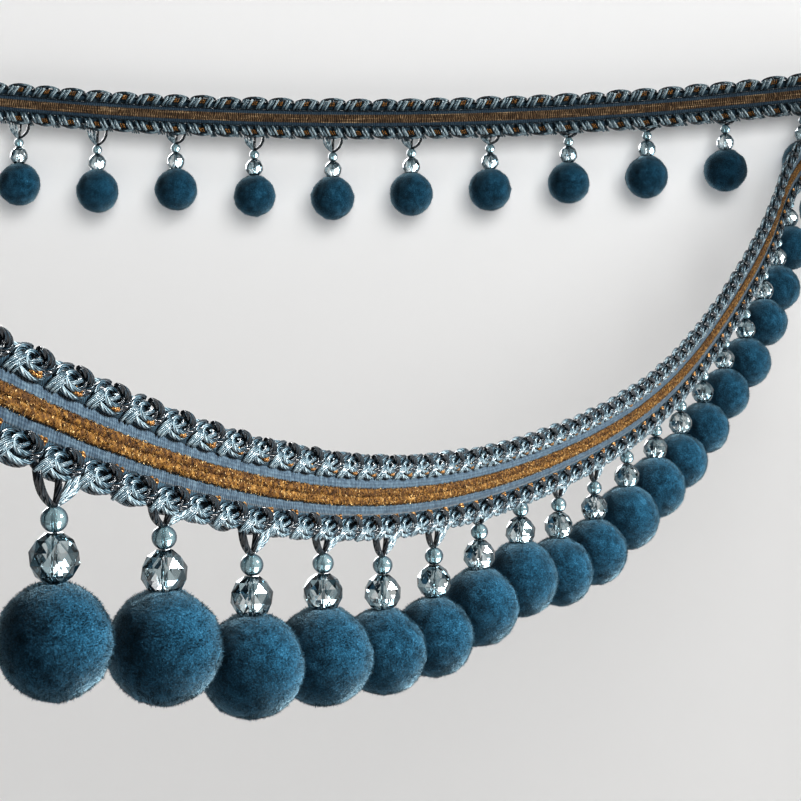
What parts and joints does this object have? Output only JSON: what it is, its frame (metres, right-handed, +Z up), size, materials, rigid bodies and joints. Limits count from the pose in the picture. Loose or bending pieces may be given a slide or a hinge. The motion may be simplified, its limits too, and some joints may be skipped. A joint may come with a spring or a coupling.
{
  "type": "pompom fringe trim hanging in a swag",
  "caption": "Woven braid trim with a gold centre band, looped cord edges and pompoms hung below beads, hooked up at one point so that it falls in a swag.",
  "frame": {"origin": "the top edge of the trim at the turn, where a hook or nail holds it up", "axes": "+Z up, +Y towards the wall behind the short run, +X to the right along that wall; the long run comes forward along -Y as a swag"},
  "size_m": [0.5141, 0.8845, 0.2603],
  "materials": {
    "blue_weave": "dusty blue woven tape, fine ribs, matt",
    "gold_chenille": "antique gold chenille with metallic glints",
    "satin_cord": "steel blue twisted satin cord with a bright sheen",
    "clear_bead": "transparent smoky teal, polished facets",
    "pompom_pile": "dense cut pile, petrol blue, matt with a soft sheen"
  },
  "bodies": {
    "root": {"header_tape": "blue_weave", "gold_band": "gold_chenille", "top_gimp": "satin_cord", "bottom_gimp_comb": "satin_cord", "pompom_01": "pompom_pile", "pompom_02": "pompom_pile", "pompom_03": "pompom_pile", "pompom_04": "pompom_pile", "pompom_05": "pompom_pile", "pompom_06": "pompom_pile", "pompom_07": "pompom_pile", "pompom_08": "pompom_pile", "pompom_09": "pompom_pile", "pompom_10": "pompom_pile", "pompom_11": "pompom_pile", "pompom_12": "pompom_pile", "pompom_13": "pompom_pile", "pompom_14": "pompom_pile", "pompom_15": "pompom_pile", "pompom_16": "pompom_pile", "pompom_17": "pompom_pile", "pompom_18": "pompom_pile", "pompom_19": "pompom_pile", "pompom_20": "pompom_pile", "pompom_21": "pompom_pile", "pompom_22": "pompom_pile", "pompom_23": "pompom_pile", "pompom_24": "pompom_pile", "pompom_25": "pompom_pile", "pompom_26": "pompom_pile", "pompom_27": "pompom_pile", "pompom_28": "pompom_pile", "pompom_29": "pompom_pile", "pompom_30": "pompom_pile", "pompom_31": "pompom_pile", "pompom_32": "pompom_pile", "pompom_33": "pompom_pile"}
  },
  "joints": []
}
